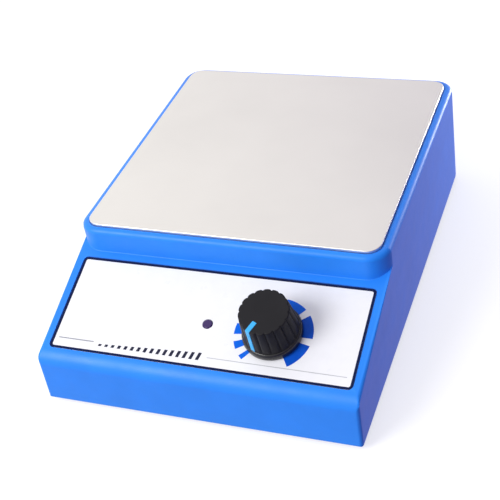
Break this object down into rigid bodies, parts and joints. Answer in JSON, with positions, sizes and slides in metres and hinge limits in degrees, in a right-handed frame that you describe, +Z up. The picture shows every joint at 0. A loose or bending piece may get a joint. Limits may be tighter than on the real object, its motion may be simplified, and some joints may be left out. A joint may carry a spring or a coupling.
{
  "type": "magnetic stirrer",
  "caption": "Low bench magnetic stirrer: blue housing, square steel work plate, sloped white panel with a fluted speed knob, and a motor that spins magnets under the plate.",
  "frame": {"origin": "on the bench, under the middle of the object's bounding box", "axes": "+Y from the sloped control panel to the rear wall, +Z up out of the work plate, +X to the right as the user faces the panel"},
  "size_m": [0.1272, 0.1746, 0.05],
  "materials": {
    "blue_plastic": "moulded ABS, satin, saturated blue",
    "black_plastic": "moulded plastic, satin black",
    "grey_plastic": "moulded plastic, grey",
    "white_film": "printed polycarbonate film, white",
    "pointer_blue": "moulded plastic, light blue",
    "lamp_plastic": "clear moulded plastic, dark violet tint",
    "rubber": "soft black rubber",
    "brushed_steel": "stainless sheet, fine satin",
    "zinc_steel": "zinc-plated steel",
    "nickel": "nickel plate",
    "brass": "sintered bronze",
    "copper": "copper",
    "ferrite": "sintered ferrite, dark grey",
    "board_green": "glass-epoxy board, green solder mask",
    "red_wire": "red wire insulation",
    "black_wire": "black wire insulation"
  },
  "bodies": {
    "housing": {"base_cover": "black_plastic", "base_screw_front_left": "zinc_steel", "base_screw_front_right": "zinc_steel", "base_screw_rear_left": "zinc_steel", "base_screw_rear_right": "zinc_steel", "board_screw_left": "zinc_steel", "board_screw_right": "zinc_steel", "bracket_screw_front_left": "zinc_steel", "bracket_screw_front_right": "zinc_steel", "bracket_screw_rear_left": "zinc_steel", "bracket_screw_rear_right": "zinc_steel", "capacitor": "black_plastic", "control_board": "board_green", "dc_jack": "black_plastic", "dc_jack_nut": "nickel", "dc_jack_pin": "nickel", "driver_ic": "black_plastic", "field_magnet_front": "ferrite", "field_magnet_rear": "ferrite", "foot_front_left": "rubber", "foot_front_right": "rubber", "foot_rear_left": "rubber", "foot_rear_right": "rubber", "front_bearing": "brass", "lamp_lens": "lamp_plastic", "mosfet": "black_plastic", "motor_bracket": "zinc_steel", "motor_can": "zinc_steel", "motor_end_cap": "black_plastic", "motor_header": "white_film", "motor_lead_black": "black_wire", "motor_lead_red": "red_wire", "motor_screw_left": "zinc_steel", "motor_screw_right": "zinc_steel", "panel_overlay": "white_film", "pot_body": "grey_plastic", "pot_bushing": "nickel", "pot_nut": "nickel", "pot_washer": "zinc_steel", "power_header": "white_film", "power_lead_black": "black_wire", "power_lead_red": "red_wire", "rear_bearing": "brass", "status_led": "lamp_plastic", "top_housing": "blue_plastic", "work_plate": "brushed_steel"},
    "knob": {"speed_knob": "black_plastic", "knob_pointer": "pointer_blue", "pot_shaft": "nickel"},
    "rotor": {"motor_shaft": "zinc_steel", "armature_core": "zinc_steel", "armature_coil_1": "copper", "armature_coil_2": "copper", "armature_coil_3": "copper", "commutator": "copper", "magnet_carrier": "grey_plastic", "drive_magnet_left": "nickel", "drive_magnet_right": "nickel", "grub_screw": "black_plastic"}
  },
  "joints": [
    {"name": "knob_turn", "type": "hinge", "parent": "housing", "child": "knob", "pos_m": [0.0262, -0.06466, 0.03051], "axis": [0, 0.3015, -0.9535], "range_deg": [0, 300]},
    {"name": "rotor_spin", "type": "hinge", "parent": "housing", "child": "rotor", "pos_m": [0, 0.0234, 0], "axis": [0, 0, 1], "continuous": true}
  ]
}
